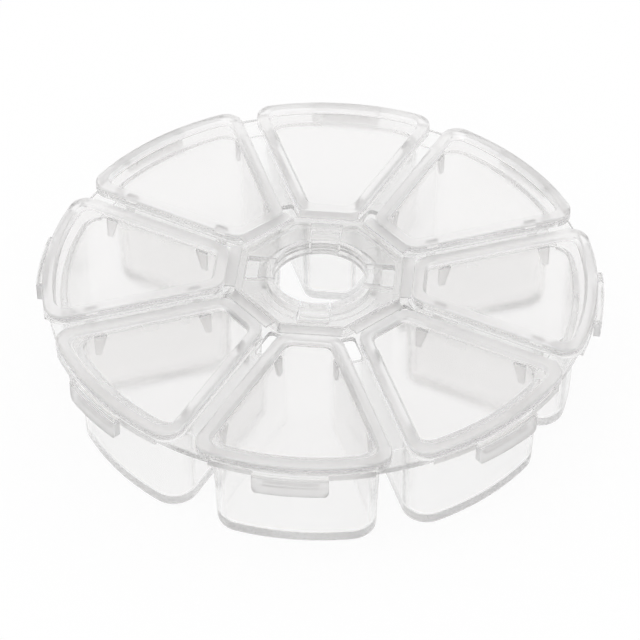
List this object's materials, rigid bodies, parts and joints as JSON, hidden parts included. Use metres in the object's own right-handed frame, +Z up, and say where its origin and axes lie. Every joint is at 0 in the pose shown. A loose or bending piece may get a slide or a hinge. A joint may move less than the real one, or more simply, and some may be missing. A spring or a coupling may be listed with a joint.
{
  "type": "round compartment box",
  "caption": "Round clear box of wedge-shaped cups hung from one deck, each with its own snap lid on a living hinge around an open hub.",
  "frame": {"origin": "on the axis of the box, at the level of the cups' undersides", "axes": "+Z up through the centre hole, -Y out through compartment 1, compartments counted anticlockwise from above"},
  "size_m": [0.1044, 0.1044, 0.0222],
  "materials": {
    "base": "clear polypropylene, smooth",
    "cover": "clear polypropylene, slightly milky"
  },
  "bodies": {
    "base": {"base_core": "base", "hub_ring": "cover", "deck_1": "base", "deck_2": "base", "deck_3": "base", "deck_4": "base", "deck_5": "base", "deck_6": "base", "deck_7": "base", "deck_8": "base", "cup_1": "base", "cup_2": "base", "cup_3": "base", "cup_4": "base", "cup_5": "base", "cup_6": "base", "cup_7": "base", "cup_8": "base", "hinge_1": "cover", "hinge_2": "cover", "hinge_3": "cover", "hinge_4": "cover", "hinge_5": "cover", "hinge_6": "cover", "hinge_7": "cover", "hinge_8": "cover"},
    "cover_1": {"lid_1": "cover", "snap_1": "cover"},
    "cover_2": {"lid_2": "cover", "snap_2": "cover"},
    "cover_3": {"lid_3": "cover", "snap_3": "cover"},
    "cover_4": {"lid_4": "cover", "snap_4": "cover"},
    "cover_5": {"lid_5": "cover", "snap_5": "cover"},
    "cover_6": {"lid_6": "cover", "snap_6": "cover"},
    "cover_7": {"lid_7": "cover", "snap_7": "cover"},
    "cover_8": {"lid_8": "cover", "snap_8": "cover"}
  },
  "joints": [
    {"name": "lid_1_hinge", "type": "hinge", "parent": "base", "child": "cover_1", "pos_m": [0, -0.01615, 0.02202], "axis": [-1, 0, 0], "range_deg": [0, 88], "deforming": ["hinge_1"]},
    {"name": "lid_2_hinge", "type": "hinge", "parent": "base", "child": "cover_2", "pos_m": [0.01142, -0.01142, 0.02202], "axis": [0.7071, 0.7071, 0], "range_deg": [-88, 0], "deforming": ["hinge_2"]},
    {"name": "lid_3_hinge", "type": "hinge", "parent": "base", "child": "cover_3", "pos_m": [0.01615, 0, 0.02202], "axis": [0, -1, 0], "range_deg": [0, 88], "deforming": ["hinge_3"]},
    {"name": "lid_4_hinge", "type": "hinge", "parent": "base", "child": "cover_4", "pos_m": [0.01142, 0.01142, 0.02202], "axis": [-0.7071, 0.7071, 0], "range_deg": [-88, 0], "deforming": ["hinge_4"]},
    {"name": "lid_5_hinge", "type": "hinge", "parent": "base", "child": "cover_5", "pos_m": [0, 0.01615, 0.02202], "axis": [1, 0, 0], "range_deg": [0, 88], "deforming": ["hinge_5"]},
    {"name": "lid_6_hinge", "type": "hinge", "parent": "base", "child": "cover_6", "pos_m": [-0.01142, 0.01142, 0.02202], "axis": [-0.7071, -0.7071, 0], "range_deg": [-88, 0], "deforming": ["hinge_6"]},
    {"name": "lid_7_hinge", "type": "hinge", "parent": "base", "child": "cover_7", "pos_m": [-0.01615, 0, 0.02202], "axis": [0, 1, 0], "range_deg": [0, 88], "deforming": ["hinge_7"]},
    {"name": "lid_8_hinge", "type": "hinge", "parent": "base", "child": "cover_8", "pos_m": [-0.01142, -0.01142, 0.02202], "axis": [0.7071, -0.7071, 0], "range_deg": [-88, 0], "deforming": ["hinge_8"]}
  ]
}
